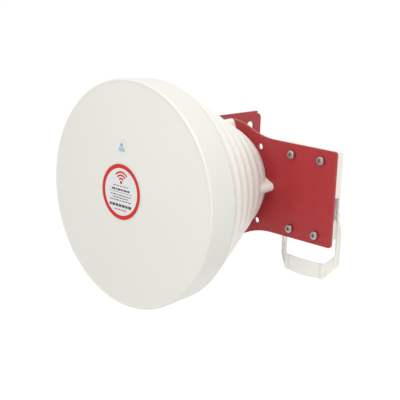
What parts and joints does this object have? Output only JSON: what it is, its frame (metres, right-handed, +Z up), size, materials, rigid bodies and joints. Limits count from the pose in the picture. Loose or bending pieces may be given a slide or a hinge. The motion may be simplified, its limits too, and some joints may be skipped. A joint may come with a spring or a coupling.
{
  "type": "horn antenna",
  "caption": "Closed-front round horn antenna on a red folded bracket, with a white radio cradle and hinged bail, and a tilting pole clamp behind.",
  "frame": {"origin": "on the axis of the pole that the clamp grips, half way up the jaws", "axes": "+Z up along the pole, -Y the way the horn faces, +X towards the radio cradle"},
  "size_m": [0.2839, 0.3682, 0.2548],
  "materials": {
    "radome": "white moulded plastic, fine satin grain",
    "housing": "white moulded plastic, satin",
    "red_coat": "red powder coat on sheet steel, satin",
    "cradle": "warm white moulded plastic",
    "aluminium": "spun sheet",
    "cast": "die cast, blasted",
    "stainless": "stainless steel",
    "zinc": "zinc plated steel",
    "brass": "turned brass",
    "ptfe": "white fluoropolymer",
    "rubber": "black silicone rubber",
    "paper": "printed film label",
    "blue_ink": "clear film sticker with a pale blue print"
  },
  "bodies": {
    "clamp": {"clamp_base": "cast", "clamp_bolt_left": "zinc", "clamp_bolt_right": "zinc", "tilt_bolt": "zinc", "tilt_washer_inner": "zinc", "tilt_washer_outer": "zinc", "tilt_nut": "zinc", "tilt_bush": "zinc", "slot_bolt": "zinc", "slot_washer_inner": "zinc", "slot_washer_outer": "zinc", "slot_nut": "zinc"},
    "jaw": {"clamp_jaw": "cast", "clamp_washer_left": "zinc", "clamp_washer_right": "zinc", "clamp_nut_left": "zinc", "clamp_nut_right": "zinc"},
    "head": {"radome": "radome", "radome_gasket": "rubber", "horn_housing": "housing", "horn_flare": "aluminium", "round_label": "paper", "up_mark_sticker": "blue_ink", "red_bracket": "red_coat", "horn_screw_right": "stainless", "horn_screw_top": "stainless", "horn_screw_bottom": "stainless", "feed_body": "cast", "feed_gasket": "rubber", "feed_end_cap": "cast", "feed_screw_1": "stainless", "feed_screw_2": "stainless", "feed_screw_3": "stainless", "feed_screw_4": "stainless", "cap_screw_1": "stainless", "cap_screw_2": "stainless", "cap_screw_3": "stainless", "cap_screw_4": "stainless", "probe_horizontal": "brass", "probe_vertical": "brass", "insulator_horizontal": "ptfe", "insulator_vertical": "ptfe", "connector_horizontal": "zinc", "connector_vertical": "zinc", "cradle": "cradle", "dock_screw_1": "stainless", "dock_screw_2": "stainless", "dock_screw_3": "stainless", "dock_screw_4": "stainless", "dock_nut_1": "stainless", "dock_nut_2": "stainless", "dock_nut_3": "stainless", "dock_nut_4": "stainless", "bail_pin_right": "cradle", "bail_pin_left": "cradle"},
    "bail": {"bail": "cradle"}
  },
  "joints": [
    {"name": "tilt", "type": "hinge", "parent": "clamp", "child": "head", "pos_m": [0.0038, -0.0674, -0.0092], "axis": [1, 0, 0], "range_deg": [-15, 20]},
    {"name": "jaw_slide", "type": "slide", "parent": "clamp", "child": "jaw", "axis": [0, 1, 0], "range_m": [-0.01, 0.012]},
    {"name": "bail_swing", "type": "hinge", "parent": "head", "child": "bail", "pos_m": [0.1643, -0.1364, 0.018], "axis": [1, 0, 0], "range_deg": [0, 75]}
  ]
}
